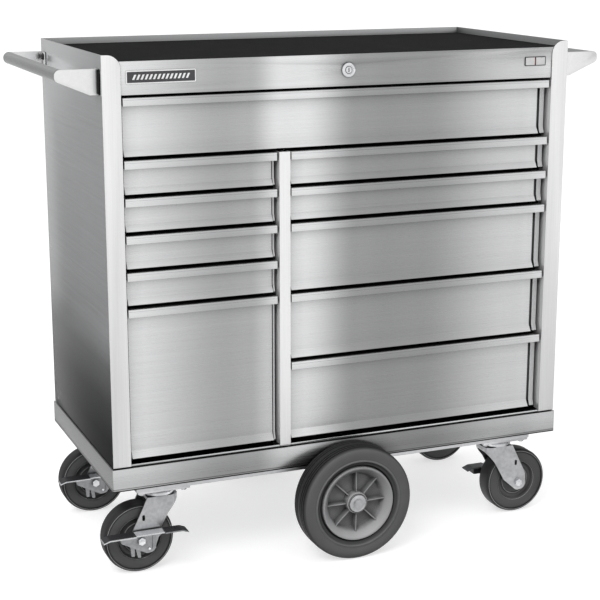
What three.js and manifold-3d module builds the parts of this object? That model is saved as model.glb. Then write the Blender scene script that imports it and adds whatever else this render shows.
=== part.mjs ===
// Rolling tool chest: a stainless cabinet with eleven drawers on four swivel casters and two
// large middle wheels. Millimetres, +Z up. Origin on the floor under the middle of the cabinet,
// +X to the right and -Y towards a person in front of the drawers.
import * as THREE from 'three';
import { mergeVertices } from 'three/addons/utils/BufferGeometryUtils.js';
import Module from 'manifold-3d';

const wasm = await Module();
wasm.setup();

// ---- driving dimensions -------------------------------------------------------------------

const GAP = 0.3; // between pieces that rest on or in each other
const SHEET = 1.5; // cabinet sheet

const HALF_W = 520.5; // cabinet, 1041 mm wide
const HALF_D = 254; // cabinet, 508 mm deep
const BASE_Z = 256; // bottom of the cabinet above the floor
const TOP_Z = 1094; // top of the side and back walls
const FRONT = -HALF_D; // plane of the posts' front faces

const POST_W = 38;
const POST_DEPTH = 38;
const POST_TOP_R = 27; // rounded inner top corner of each post
const OPENING_X = HALF_W - POST_W; // inner face of the right post

const DIVIDER_X = -141.35; // middle of the centre divider
const DIVIDER_W = 24;
const DIVIDER_TOP = 888;

const RAIL_BOTTOM = 1016;
const RAIL_TOP = 1081;
const SILL_TOP = 259.5;

const TRAY_Z = 1077; // upper side of the top tray's floor
const MAT_T = 3;

const SKIRT_OUT = 3; // the base frame stands this far proud of the cabinet
const SKIRT_BOTTOM = 205;
const SKIRT_TOP = 253;

const DRAWER_TOP_Z = 1011; // top edge of the highest drawer front
const DRAWER_GAP = 6.5; // between one front's bottom edge and the next pull
const TOP_DRAWER_PITCH = 124;
const LEFT_PITCHES = [75.25, 75.25, 75.25, 75.25, 325.5];
const RIGHT_PITCHES = [75.25, 75.25, 150, 148, 178];
const FRONT_SIDE_GAP = 3.7; // front's end to the post or divider
const PULL_H = 17;
const PULL_SET_BACK = 3; // pull's face behind the posts' faces
const FACE_SET_BACK = 20; // drawer face behind the posts' faces
const FRONT_BACK = 23; // rear plane of a drawer front behind the posts' faces
const FLARE_H = 15; // height of the slanted bottom band of a face
const LEFT_INSET = 2.5; // left end of a face inside the pull's end
const DIVIDER_INSET = 6.5; // right end of a face beside the divider
const POST_INSET = 18.7; // right end of a face beside the right post
const TAB_SLOT = 0.37; // share of the right inset that is open, between the face and its tab
const TAB_SHORT = 0.13; // share that the tab stops short of the pull's end

const BOX_T = 1.2; // drawer box sheet
const BOX_BACK = 215; // rear of the drawer boxes
const SLIDE_W = 12.7; // room for a slide beside a drawer box
const SLIDE_H = 35;
const SLIDE_FRONT = -212;
const SLIDE_BACK = 222;
const SLIDE_T = 1.2;
const RUNNER_H = 24;
const RUNNER_W = 9.2;
const RACK_BOTTOM = 259.8;

const LOCK_Z = 1048.8;
const LOCK_BAR_Z = 1056;

const HANDLE_Y = 235; // outer face of each handle end plate, front and back
const HANDLE_REACH = 90; // how far the handle stands out from the side
const HANDLE_TOP = 1068;
const HANDLE_BOTTOM = 1016;
const HANDLE_TUBE_R = 12.5;

const CASTER_X = 408.5; // kingpins
const CASTER_Y = 187;
const CASTER_R = 76.2; // 6 in wheel
const CASTER_W = 43;
const CASTER_TRAIL = 48; // kingpin to wheel axle
const CASTER_TOP = 190.5; // overall height of a caster
const CASTER_PLATE = [114, 102, 5];

const BIG_R = 127; // 10 in wheel
const BIG_HUB_W = 50;
const BIG_TYRE_W = 64;
const BIG_Y = 292; // middle plane of each large wheel
const AXLE_R = 10;
const WHEEL_SIDES = 24;

// ---- materials ----------------------------------------------------------------------------

function material(color, roughness, metalness) {
  return new THREE.MeshStandardMaterial({ color, roughness, metalness });
}

const stainless = () => material(0xc9cbcc, 0.32, 1);
const zinc = () => material(0xb9bcc0, 0.4, 1);
const blackRubber = () => material(0x1b1b1c, 0.8, 0);
const greyRubber = () => material(0x4a4a4b, 0.75, 0);
const greyPlastic = () => material(0x6a6b6c, 0.6, 0);
const darkSteel = () => material(0x2c2d2f, 0.5, 0.6);
const blackPaint = () => material(0x202123, 0.45, 0.3);

// ---- geometry helpers ---------------------------------------------------------------------

// A polygon of [x, y] or [x, y, radius] corners, the radius rounding that corner.
function outline(corners, arcSteps = 4) {
  const points = [];
  corners.forEach(([x, y, radius = 0], i) => {
    const corner = new THREE.Vector2(x, y);
    if (radius === 0) {
      points.push(corner);
      return;
    }
    const before = new THREE.Vector2(...corners.at(i - 1).slice(0, 2)).sub(corner).normalize();
    const after = new THREE.Vector2(...corners[(i + 1) % corners.length].slice(0, 2));
    after.sub(corner).normalize();
    const half = Math.acos(before.dot(after)) / 2;
    const centre = before.clone().add(after).normalize().multiplyScalar(radius / Math.sin(half));
    centre.add(corner);
    const tangent = radius / Math.tan(half);
    const from = corner.clone().addScaledVector(before, tangent).sub(centre);
    const to = corner.clone().addScaledVector(after, tangent).sub(centre);
    let sweep = to.angle() - from.angle();
    if (sweep > Math.PI) sweep -= 2 * Math.PI;
    if (sweep < -Math.PI) sweep += 2 * Math.PI;
    for (let step = 0; step <= arcSteps; step += 1) {
      const angle = from.angle() + (sweep * step) / arcSteps;
      points.push(new THREE.Vector2(Math.cos(angle), Math.sin(angle)).multiplyScalar(radius).add(centre));
    }
  });
  return new THREE.Shape(points);
}

function extrude(shape, depth) {
  return new THREE.ExtrudeGeometry(shape, { depth, bevelEnabled: false, curveSegments: 6 });
}

// Corners in (x, y), swept from z0 to z1.
function alongZ(corners, z0, z1, arcSteps) {
  return extrude(outline(corners, arcSteps), z1 - z0).translate(0, 0, z0);
}

// Corners in (x, z), swept from y0 to y1.
function alongY(corners, y0, y1, arcSteps) {
  const geometry = extrude(outline(corners, arcSteps), y1 - y0).rotateX(Math.PI / 2);
  return geometry.translate(0, y1, 0);
}

// Corners in (y, z), swept from x0 to x1.
function alongX(corners, x0, x1, arcSteps) {
  const geometry = extrude(outline(corners, arcSteps), x1 - x0);
  const axes = new THREE.Matrix4().makeBasis(
    new THREE.Vector3(0, 1, 0),
    new THREE.Vector3(0, 0, 1),
    new THREE.Vector3(1, 0, 0),
  );
  return geometry.applyMatrix4(axes).translate(x0, 0, 0);
}

function box([x0, x1], [y0, y1], [z0, z1]) {
  const geometry = new THREE.BoxGeometry(x1 - x0, y1 - y0, z1 - z0);
  return geometry.translate((x0 + x1) / 2, (y0 + y1) / 2, (z0 + z1) / 2);
}

function rectangle(halfX, halfY, radius = 0) {
  return [[-halfX, -halfY, radius], [halfX, -halfY, radius], [halfX, halfY, radius], [-halfX, halfY, radius]];
}

// A cylinder along Y between y0 and y1.
function rodY(radius, y0, y1, sides = 16) {
  return new THREE.CylinderGeometry(radius, radius, y1 - y0, sides).translate(0, (y0 + y1) / 2, 0);
}

// A cylinder along Z between z0 and z1.
function rodZ(radius, z0, z1, sides = 16) {
  const geometry = new THREE.CylinderGeometry(radius, radius, z1 - z0, sides).rotateX(Math.PI / 2);
  return geometry.translate(0, 0, (z0 + z1) / 2);
}

// A closed (radius, y) profile turned about Y, with a flat facet at the bottom.
function turned(profile, sides = WHEEL_SIDES) {
  const facetToCorner = 1 / Math.cos(Math.PI / sides);
  const points = profile.map(([radius, y]) => new THREE.Vector2(radius * facetToCorner, y));
  points.push(points[0].clone());
  const geometry = new THREE.LatheGeometry(points, sides, Math.PI / sides);
  return geometry;
}

function toSolid(geometry) {
  const bare = geometry.clone();
  bare.deleteAttribute('normal');
  bare.deleteAttribute('uv');
  const merged = mergeVertices(bare, 1e-4);
  const vertProperties = new Float32Array(merged.attributes.position.array);
  const triVerts = new Uint32Array(merged.index.array);
  return new wasm.Manifold(new wasm.Mesh({ numProp: 3, vertProperties, triVerts }));
}

function toGeometry(solid) {
  const mesh = solid.getMesh();
  const geometry = new THREE.BufferGeometry();
  geometry.setAttribute('position', new THREE.BufferAttribute(new Float32Array(mesh.vertProperties), 3));
  geometry.setIndex(new THREE.BufferAttribute(new Uint32Array(mesh.triVerts), 1));
  geometry.computeVertexNormals();
  return geometry;
}

function join(...pieces) {
  return toGeometry(pieces.map(toSolid).reduce((whole, piece) => whole.add(piece)));
}

function cut(base, ...tools) {
  return toGeometry(tools.map(toSolid).reduce((whole, tool) => whole.subtract(tool), toSolid(base)));
}

function common(first, second) {
  return toGeometry(toSolid(first).intersect(toSolid(second)));
}

function piece(name, geometry, finish) {
  const mesh = new THREE.Mesh(geometry, finish);
  mesh.name = name;
  return mesh;
}

// The same shape on the other side, with its triangles turned the right way out again.
function mirroredX(geometry) {
  const mirrored = geometry.clone().scale(-1, 1, 1);
  const index = mirrored.index.array;
  for (let i = 0; i < index.length; i += 3) {
    [index[i], index[i + 1]] = [index[i + 1], index[i]];
  }
  mirrored.computeVertexNormals();
  return mirrored;
}

const group = new THREE.Group();

// ---- cabinet ------------------------------------------------------------------------------

function cabinetShell() {
  const inner = HALF_W - SHEET;
  const frontEdge = FRONT + SHEET + GAP;
  const walls = [
    [-HALF_W, frontEdge],
    [-inner, frontEdge],
    [-inner, HALF_D - SHEET],
    [inner, HALF_D - SHEET],
    [inner, frontEdge],
    [HALF_W, frontEdge],
    [HALF_W, HALF_D, SHEET],
    [-HALF_W, HALF_D, SHEET],
  ];
  return alongZ(walls, BASE_Z, TOP_Z);
}

function bottomPan() {
  const reach = HALF_W - 3.5;
  const y0 = FRONT + SHEET + GAP;
  const z0 = BASE_Z + 0.2;
  const section = [
    [y0, z0],
    [HALF_D - 2, z0],
    [HALF_D - 2, z0 + SHEET],
    [y0 + SHEET, z0 + SHEET],
    [y0 + SHEET, SILL_TOP],
    [y0, SILL_TOP],
  ];
  return alongX(section, -reach, reach);
}

// Front face with the rounded inner top corner, and the U channel behind it.
function leftPost() {
  const inner = -OPENING_X;
  const face = alongY(
    [[-HALF_W, BASE_Z], [inner, BASE_Z], [inner, TOP_Z, POST_TOP_R], [-HALF_W, TOP_Z]],
    FRONT,
    FRONT + SHEET,
    8,
  );
  const channelTop = RAIL_BOTTOM - GAP;
  const z = [SILL_TOP + GAP, channelTop];
  const jamb = box([inner - SHEET, inner], [FRONT, FRONT + POST_DEPTH], z);
  const flangeX = -HALF_W + SHEET + GAP;
  const flange = box([flangeX, flangeX + SHEET], [FRONT, FRONT + POST_DEPTH], z);
  return join(face, jamb, flange);
}

function frontRail() {
  const y0 = FRONT + SHEET + GAP;
  const section = [
    [y0, RAIL_BOTTOM],
    [FRONT + 29, RAIL_BOTTOM],
    [FRONT + 29, RAIL_BOTTOM + SHEET],
    [y0 + SHEET, RAIL_BOTTOM + SHEET],
    [y0 + SHEET, RAIL_TOP - 9],
    [y0 + 2 * SHEET, RAIL_TOP - 9],
    [y0 + 2 * SHEET, RAIL_TOP, 1],
    [y0, RAIL_TOP, 1],
  ];
  const rail = alongX(section, -HALF_W + 3.5, HALF_W - 3.5, 2);
  const lockHole = rodY(11, FRONT - 5, FRONT + 10).translate(0, 0, LOCK_Z);
  return cut(rail, lockHole);
}

// Folded front channel with the partition sheet that runs back from it.
function centerDivider() {
  const half = DIVIDER_W / 2;
  const left = DIVIDER_X - half;
  const right = DIVIDER_X + half;
  const z = [SILL_TOP + GAP, DIVIDER_TOP];
  const depth = [FRONT, FRONT + POST_DEPTH];
  const face = box([left, right], [FRONT, FRONT + SHEET], [BASE_Z, DIVIDER_TOP]);
  const leftJamb = box([left, left + SHEET], depth, z);
  const rightJamb = box([right - SHEET, right], depth, z);
  const partition = box([DIVIDER_X - SHEET / 2, DIVIDER_X + SHEET / 2], [FRONT + 1, HALF_D - 4], z);
  return join(face, leftJamb, rightJamb, partition);
}

function topTray() {
  const outer = HALF_W - SHEET - GAP;
  const back = HALF_D - SHEET - GAP;
  const front = FRONT + 5.1;
  const block = box([-outer, outer], [front, back], [TRAY_Z - SHEET, TOP_Z]);
  const inside = box([-outer + SHEET, outer - SHEET], [front - 1, back - SHEET], [TRAY_Z, TOP_Z + 1]);
  return cut(block, inside);
}

function topMat() {
  const halfX = HALF_W - 2 * SHEET - 2 * GAP;
  const back = HALF_D - 2 * SHEET - 2 * GAP;
  return box([-halfX, halfX], [FRONT + 5.4, back], [TRAY_Z + GAP, TRAY_Z + GAP + MAT_T]);
}

// Skirt wall, its top and bottom flanges, and the step that the cabinet stands on.
function baseFrame() {
  const x = HALF_W + SKIRT_OUT;
  const y = HALF_D + SKIRT_OUT;
  const block = alongZ(rectangle(x, y, 3), SKIRT_BOTTOM, SKIRT_TOP);
  const step = alongZ(rectangle(x - 11, y - 11), SKIRT_TOP - 1, BASE_Z - GAP);
  const hollow = alongZ(rectangle(x - 2, y - 2, 1), SKIRT_BOTTOM + 2, SKIRT_TOP - 2);
  const bottomHole = alongZ(rectangle(x - 60, y - 25), SKIRT_BOTTOM - 5, SKIRT_BOTTOM + 5);
  const topHole = alongZ(rectangle(x - 31, y - 31), SKIRT_TOP - 5, BASE_Z + 5);
  return cut(join(block, step), hollow, bottomHole, topHole);
}

group.add(
  piece('cabinet_shell', cabinetShell(), stainless()),
  piece('bottom_pan', bottomPan(), stainless()),
  piece('left_post', leftPost(), stainless()),
  piece('right_post', mirroredX(leftPost()), stainless()),
  piece('front_rail', frontRail(), stainless()),
  piece('center_divider', centerDivider(), stainless()),
  piece('top_tray', topTray(), stainless()),
  piece('top_mat', topMat(), blackRubber()),
  piece('base_frame', baseFrame(), stainless()),
);

// ---- drawers ------------------------------------------------------------------------------

// Every drawer as { name, x0, x1, top, bottom } of the opening it fills.
function drawerBank(side, x0, x1, pitches) {
  let top = DRAWER_TOP_Z - TOP_DRAWER_PITCH;
  return pitches.map((pitch, index) => {
    const drawer = { name: `drawer_${side}_${index + 1}`, x0, x1, top, bottom: top - pitch + DRAWER_GAP };
    top -= pitch;
    return drawer;
  });
}

const topDrawer = {
  name: 'drawer_top',
  x0: -OPENING_X,
  x1: OPENING_X,
  top: DRAWER_TOP_Z,
  bottom: DRAWER_TOP_Z - TOP_DRAWER_PITCH + DRAWER_GAP,
};
const leftDrawers = drawerBank('left', -OPENING_X, DIVIDER_X - DIVIDER_W / 2, LEFT_PITCHES);
const rightDrawers = drawerBank('right', DIVIDER_X + DIVIDER_W / 2, OPENING_X, RIGHT_PITCHES);

const boxBottom = (drawer) => drawer.bottom + 8;
const slideZ = (drawer) => boxBottom(drawer) + 20;

// A full-width pull that hooks over the face, the face with its flared bottom band, and a
// set-back tab at each end, with an open slot between it and the face at the right.
function drawerFront({ x0, x1, top, bottom }) {
  const left = x0 + FRONT_SIDE_GAP;
  const right = x1 - FRONT_SIDE_GAP;
  const lip = FRONT + PULL_SET_BACK;
  const face = FRONT + FACE_SET_BACK;
  const back = FRONT + FRONT_BACK;
  const underPull = top - PULL_H;
  const pull = alongX(
    [
      [back, underPull],
      [face, underPull],
      [face, top - 2],
      [lip + 2, top - 2],
      [lip + 2, underPull],
      [lip, underPull, 0.8],
      [lip, top, 3.5],
      [back, top],
    ],
    left,
    right,
    3,
  );
  const endCap = (x) => box([x, x + SHEET], [lip + 1, face + 1], [underPull + 0.5, top - 1]);
  const inset = x1 === OPENING_X ? POST_INSET : DIVIDER_INSET;
  const tabs = [
    [left + 0.3, left + LEFT_INSET + 1],
    [right - inset * (1 - TAB_SLOT), right - inset * TAB_SHORT],
  ].map(([from, to]) => alongX(
    [
      [back - SHEET, underPull + 2],
      [back - SHEET, bottom + FLARE_H],
      [back - 6, bottom + 0.5],
      [back - 4, bottom + 0.5],
      [back - 0.2, bottom + FLARE_H],
      [back - 0.2, underPull + 2],
    ],
    from,
    to,
  ));
  const skin = alongX(
    [
      [back - 1, underPull + 1],
      [face, underPull + 1],
      [face, bottom + FLARE_H],
      [lip + 7, bottom, 0.8],
      [back - 5, bottom],
      [back - 1, bottom + FLARE_H],
    ],
    left + LEFT_INSET,
    right - inset,
    2,
  );
  return join(pull, endCap(left + 0.5), endCap(right - 0.5 - SHEET), ...tabs, skin);
}

// Open-topped box with a slide member on each side.
function drawerBox(drawer) {
  const left = drawer.x0 + SLIDE_W;
  const right = drawer.x1 - SLIDE_W;
  const y0 = FRONT + FRONT_BACK + GAP;
  const z0 = boxBottom(drawer);
  const z1 = drawer.top - 14;
  const shell = box([left, right], [y0, BOX_BACK], [z0, z1]);
  const inside = box([left + BOX_T, right - BOX_T], [y0 + BOX_T, BOX_BACK - BOX_T], [z0 + BOX_T, z1 + 1]);
  const runnerY = [SLIDE_FRONT + 2, BOX_BACK - 5];
  const runnerZ = [slideZ(drawer) - RUNNER_H / 2, slideZ(drawer) + RUNNER_H / 2];
  return join(
    cut(shell, inside),
    box([left - RUNNER_W, left + BOX_T / 2], runnerY, runnerZ),
    box([right - BOX_T / 2, right + RUNNER_W], runnerY, runnerZ),
  );
}

for (const drawer of [topDrawer, ...leftDrawers, ...rightDrawers]) {
  group.add(
    piece(`${drawer.name}_box`, drawerBox(drawer), darkSteel()),
    piece(`${drawer.name}_front`, drawerFront(drawer), stainless()),
  );
}

// ---- slide racks --------------------------------------------------------------------------

// Two upright channels from wallX to openX, and a C-shaped slide member for each drawer.
function slideRack(wallX, openX, drawers) {
  const inward = Math.sign(openX - wallX);
  const span = (a, b) => [Math.min(a, b), Math.max(a, b)];
  const top = Math.max(...drawers.map(slideZ)) + SLIDE_H / 2 + 4;
  const uprights = [SLIDE_FRONT - 1, SLIDE_BACK - 32].map((y) => cut(
    box(span(wallX, openX), [y, y + 30], [RACK_BOTTOM, top]),
    box(span(wallX - inward, openX - inward * SHEET), [y + SHEET, y + 30 - SHEET], [RACK_BOTTOM - 1, top + 1]),
  ));
  const members = drawers.map((drawer) => {
    const z = slideZ(drawer);
    const webX = openX - inward * SHEET;
    const tipX = openX + inward * (SLIDE_W - 0.8);
    return cut(
      box(span(webX, tipX), [SLIDE_FRONT, SLIDE_BACK], [z - SLIDE_H / 2, z + SLIDE_H / 2]),
      box(
        span(openX + inward * SLIDE_T, tipX + inward),
        [SLIDE_FRONT - 1, SLIDE_BACK + 1],
        [z - SLIDE_H / 2 + SLIDE_T, z + SLIDE_H / 2 - SLIDE_T],
      ),
    );
  });
  return join(...uprights, ...members);
}

const sideWall = HALF_W - SHEET - GAP;
const partitionFace = SHEET / 2 + GAP;
group.add(
  piece('left_wall_rack', slideRack(-sideWall, -OPENING_X, [topDrawer, ...leftDrawers]), zinc()),
  piece(
    'divider_left_rack',
    slideRack(DIVIDER_X - partitionFace, DIVIDER_X - DIVIDER_W / 2, leftDrawers),
    zinc(),
  ),
  piece(
    'divider_right_rack',
    slideRack(DIVIDER_X + partitionFace, DIVIDER_X + DIVIDER_W / 2, rightDrawers),
    zinc(),
  ),
  piece('right_wall_rack', slideRack(sideWall, OPENING_X, [topDrawer, ...rightDrawers]), zinc()),
);

// ---- lock and name plate ------------------------------------------------------------------

function lockHousing() {
  const barrel = rodY(10.7, FRONT + 1, FRONT + 26);
  const bezel = rodY(15, FRONT - 1.5, FRONT + SHEET);
  const bore = rodY(7.2, FRONT - 5, FRONT + 30);
  return cut(join(barrel, bezel), bore).translate(0, 0, LOCK_Z);
}

// Key cylinder with its slot, and the cam on its rear end.
function lockCylinder() {
  const plug = rodY(6.9, FRONT - 1, FRONT + 29);
  const keySlot = box([-1, 1], [FRONT - 3, FRONT + 4], [-4.5, 4.5]);
  const cam = box([-5, 16], [FRONT + 26.5, FRONT + 29], [-4, 4]);
  return join(cut(plug, keySlot), cam).translate(0, 0, LOCK_Z);
}

// Cross bar behind the front rail, with an arm down inside each corner post.
function lockBar() {
  const y = [FRONT + 32, FRONT + 35];
  const top = LOCK_BAR_Z + 12;
  return join(
    box([-510, 510], y, [LOCK_BAR_Z, top]),
    box([-510, -490], y, [270, top]),
    box([490, 510], y, [270, top]),
  );
}

function namePlate() {
  const corners = [[-470.5, 1038.8, 2], [-330.5, 1038.8, 2], [-330.5, 1061.5, 2], [-470.5, 1061.5, 2]];
  return alongY(corners, FRONT + 0.1, FRONT + SHEET, 2);
}

group.add(
  piece('name_plate', namePlate(), blackPaint()),
  piece('lock_housing', lockHousing(), zinc()),
  piece('lock_cylinder', lockCylinder(), zinc()),
  piece('lock_bar', lockBar(), zinc()),
);

// ---- side handles -------------------------------------------------------------------------

// End plates bolted to the side panel, and the grip tube between their noses.
function rightHandle() {
  const wall = HALF_W + GAP;
  const reach = HALF_W + HANDLE_REACH;
  const plate = [
    [wall, HANDLE_BOTTOM],
    [wall + 18, HANDLE_BOTTOM, 6],
    [reach - 1, HANDLE_TOP - 2 * HANDLE_TUBE_R + 3, 9],
    [reach - 2, HANDLE_TOP, HANDLE_TUBE_R - 1],
    [wall, HANDLE_TOP],
  ];
  const footZ = [HANDLE_BOTTOM, HANDLE_TOP];
  const grip = rodY(HANDLE_TUBE_R, -HANDLE_Y + 1, HANDLE_Y - 1, 16);
  grip.translate(reach - HANDLE_TUBE_R - 0.5, 0, HANDLE_TOP - HANDLE_TUBE_R - 0.5);
  return join(
    alongY(plate, -HANDLE_Y, -HANDLE_Y + 3),
    alongY(plate, HANDLE_Y - 3, HANDLE_Y),
    box([wall, wall + 3], [-HANDLE_Y, -HANDLE_Y + 24], footZ),
    box([wall, wall + 3], [HANDLE_Y - 24, HANDLE_Y], footZ),
    grip,
  );
}

group.add(
  piece('right_handle', rightHandle(), stainless()),
  piece('left_handle', mirroredX(rightHandle()), stainless()),
);

// ---- casters ------------------------------------------------------------------------------

// Rail under the base with the two caster top plates, their races and kingpins.
function casterRail() {
  const [plateX, plateY, plateT] = CASTER_PLATE;
  const halfY = plateY / 2;
  const railTop = SKIRT_BOTTOM - GAP;
  const rail = alongX(
    [
      [-halfY, CASTER_TOP],
      [halfY, CASTER_TOP],
      [halfY, railTop],
      [halfY - 3, railTop],
      [halfY - 3, CASTER_TOP + 3],
      [-halfY + 3, CASTER_TOP + 3],
      [-halfY + 3, railTop],
      [-halfY, railTop],
    ],
    -CASTER_X - 60,
    CASTER_X + 60,
  );
  const mounts = [-CASTER_X, CASTER_X].flatMap((x) => [
    alongZ(rectangle(plateX / 2, halfY - 0.5), CASTER_TOP - plateT, CASTER_TOP + 1).translate(x, 0, 0),
    rodZ(40, CASTER_TOP - 9.5, CASTER_TOP - plateT + 1).translate(x, 0, 0),
    rodZ(8, CASTER_TOP - 30, CASTER_TOP - 9, 12).translate(x, 0, 0),
    rodZ(13, CASTER_TOP - 32, CASTER_TOP - 27.8, 12).translate(x, 0, 0),
  ]);
  return join(rail, ...mounts);
}

// Pressed fork: a U-shaped wrap trimmed to the legs' side profile, the swivel cup and the axle.
function casterFork() {
  const crown = 168;
  const sideProfile = alongY(
    [
      [38, crown],
      [39, crown - 8],
      [15, 131],
      [-10, 86],
      [-CASTER_TRAIL + 4, 56, 12],
      [-CASTER_TRAIL - 20, 60, 16],
      [-CASTER_TRAIL - 19, 95],
      [-51, 127],
      [-31, crown],
    ],
    -40,
    40,
    3,
  );
  const wrap = (inset) => [
    [-90, -31 + inset],
    [39 - inset, -31 + inset, 20 - inset],
    [39 - inset, 31 - inset, 20 - inset],
    [-90, 31 - inset],
  ];
  const outer = alongZ(wrap(0), 30, crown, 3);
  const inner = alongZ(wrap(3), 20, crown - 5, 3);
  const fork = common(cut(outer, inner), sideProfile);
  const axle = rodY(5, -43, 38, 12).translate(-CASTER_TRAIL, 0, CASTER_R);
  const head = rodY(9, 30.5, 38, 6).translate(-CASTER_TRAIL, 0, CASTER_R);
  const nut = rodY(8.5, -43, -37.4, 6).translate(-CASTER_TRAIL, 0, CASTER_R);
  const spacer = rodY(8, -33.7, -30.5, 12).translate(-CASTER_TRAIL, 0, CASTER_R);
  const cup = rodZ(36, crown - 1, CASTER_TOP - 9.8);
  const kingpinHole = rodZ(8.6, crown - 20, CASTER_TOP, 12);
  return join(cut(join(fork, cup), kingpinHole), axle, head, nut, spacer);
}

function casterWheel() {
  const half = CASTER_W / 2;
  const side = [
    [5.3, 27],
    [20, 12],
    [44, 12],
    [46, half],
    [CASTER_R - 4.5, half],
    [CASTER_R, half - 5],
  ];
  const otherSide = side.map(([radius, y]) => [radius, -y]).reverse();
  return turned([...side, ...otherSide].reverse()).translate(-CASTER_TRAIL, 0, CASTER_R);
}

// Rocker pedal that turns on the axle: side plate with a tread at each end.
function casterPedal() {
  const plate = alongY(
    [
      [-95, 85, 5],
      [-70, 98],
      [-67, 107, 2],
      [-2, 107, 2],
      [1, 97],
      [-10, 84, 4],
      [-28, 46, 5],
      [-44, 50, 5],
    ],
    -37,
    -34,
    2,
  );
  const axleHole = rodY(5.4, -50, -20, 12).translate(-CASTER_TRAIL, 0, CASTER_R);
  const tread = (xIn, xOut) => alongY(
    [
      [xIn, 96],
      [xOut + Math.sign(xIn - xOut) * 14, 96],
      [xOut, 91],
      [xOut, 94],
      [xOut + Math.sign(xIn - xOut) * 14, 99],
      [xIn, 99],
    ],
    -64,
    -35,
  );
  return join(cut(plate, axleHole), tread(-66, -137), tread(-3, 49));
}

const casterCorners = [
  ['front_left', -1, -1],
  ['front_right', 1, -1],
  ['rear_left', -1, 1],
  ['rear_right', 1, 1],
];
for (const [corner, xSide, ySide] of casterCorners) {
  const caster = new THREE.Group();
  caster.position.set(xSide * CASTER_X, ySide * CASTER_Y, 0);
  caster.rotation.z = xSide < 0 ? 0 : Math.PI;
  caster.add(
    piece(`caster_${corner}_fork`, casterFork(), zinc()),
    piece(`caster_${corner}_wheel`, casterWheel(), blackRubber()),
    piece(`caster_${corner}_pedal`, casterPedal(), zinc()),
  );
  group.add(caster);
}
for (const [end, ySide] of [['front', -1], ['rear', 1]]) {
  const rail = piece(`caster_rail_${end}`, casterRail(), zinc());
  rail.position.y = ySide * CASTER_Y;
  group.add(rail);
}

// ---- large middle wheels ------------------------------------------------------------------

// Through axle with its two hangers, and a collar, washer and nut at each wheel.
function wheelAxle() {
  const rod = rodY(AXLE_R, -BIG_Y - 31, BIG_Y + 31, 12);
  const hub = BIG_HUB_W / 2 + GAP;
  const top = SKIRT_BOTTOM - GAP - BIG_R;
  const ends = [-1, 1].flatMap((side) => {
    const span = (a, b) => [side * (BIG_Y + a), side * (BIG_Y + b)].sort((p, q) => p - q);
    const hanger = [[-30, top], [-18, -18, 8], [18, -18, 8], [30, top]];
    return [
      alongY(hanger, ...span(-48, -42)),
      box([-30, 30], span(-48, -38), [top - 4, top]),
      rodY(16, ...span(-hub - 5, -hub), 12),
      rodY(19, ...span(hub, hub + 3)),
      rodY(9, ...span(hub + 2, 32), 6),
    ];
  });
  return join(rod, ...ends).translate(0, 0, BIG_R);
}

function bigTyre() {
  const half = BIG_TYRE_W / 2;
  const side = [
    [84, half - 9],
    [92, half - 8],
    [96, half - 1],
    [112, half],
    [121, half - 2],
    [BIG_R, half - 8],
  ];
  const otherSide = side.map(([radius, y]) => [radius, -y]).reverse();
  return turned([...side, ...otherSide].reverse()).translate(0, 0, BIG_R);
}

// Dished barrel, web, hub and the eight ribs that show as spokes on each side.
function bigRim() {
  const half = BIG_HUB_W / 2;
  const edge = BIG_TYRE_W / 2 - 1.5;
  const side = [
    [AXLE_R + GAP, half],
    [23.5, half],
    [23.5, 3],
    [62, 3],
    [67, 18],
    [79.5, edge],
  ];
  const otherSide = side.map(([radius, y]) => [radius, -y]).reverse();
  const profile = [...side, [83.6, edge], [83.6, -edge], ...otherSide].reverse();
  const ribs = [0, 1, 2, 3].map((index) => {
    const rib = box([-69, 69], [-17, 17], [-1.5, 1.5]).rotateY((index * Math.PI) / 4);
    return rib;
  });
  const bore = rodY(AXLE_R + GAP, -half - 1, half + 1, WHEEL_SIDES);
  return cut(join(turned(profile), ...ribs), bore).translate(0, 0, BIG_R);
}

for (const [end, ySide] of [['front', -1], ['rear', 1]]) {
  const wheel = new THREE.Group();
  wheel.position.y = ySide * BIG_Y;
  wheel.add(
    piece(`big_wheel_${end}_rim`, bigRim(), greyPlastic()),
    piece(`big_wheel_${end}_tyre`, bigTyre(), greyRubber()),
  );
  group.add(wheel);
}
group.add(piece('wheel_axle', wheelAxle(), zinc()));

export default group;
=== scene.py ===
"""Looks of a rolling tool chest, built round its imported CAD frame. Metres, +Z up, front towards -Y."""
import math

import bmesh
import bpy
from mathutils import Matrix, Vector


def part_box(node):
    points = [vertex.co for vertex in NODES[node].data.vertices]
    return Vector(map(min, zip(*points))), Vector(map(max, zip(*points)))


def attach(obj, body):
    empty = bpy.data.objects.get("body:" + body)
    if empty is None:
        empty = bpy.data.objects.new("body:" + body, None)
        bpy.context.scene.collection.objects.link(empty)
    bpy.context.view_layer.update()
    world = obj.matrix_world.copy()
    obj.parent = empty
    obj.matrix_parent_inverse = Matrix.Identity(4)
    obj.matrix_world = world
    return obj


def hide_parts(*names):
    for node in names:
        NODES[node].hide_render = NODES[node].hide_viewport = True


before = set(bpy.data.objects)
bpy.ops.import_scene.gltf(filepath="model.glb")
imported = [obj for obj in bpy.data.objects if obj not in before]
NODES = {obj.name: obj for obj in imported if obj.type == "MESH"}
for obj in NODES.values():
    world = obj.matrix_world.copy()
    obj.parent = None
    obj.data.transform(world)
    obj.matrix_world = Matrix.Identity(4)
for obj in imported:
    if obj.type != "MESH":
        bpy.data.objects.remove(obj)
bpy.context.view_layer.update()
MM = 0.001

# ---- camera ----------------------------------------------------------------------------------
CAMERA_AT = (-1.2807, -3.1061, 1.3323)
CAMERA_TURN = math.radians(-22.35)
CAMERA_TILT = math.radians(90 - 13.82)

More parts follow.
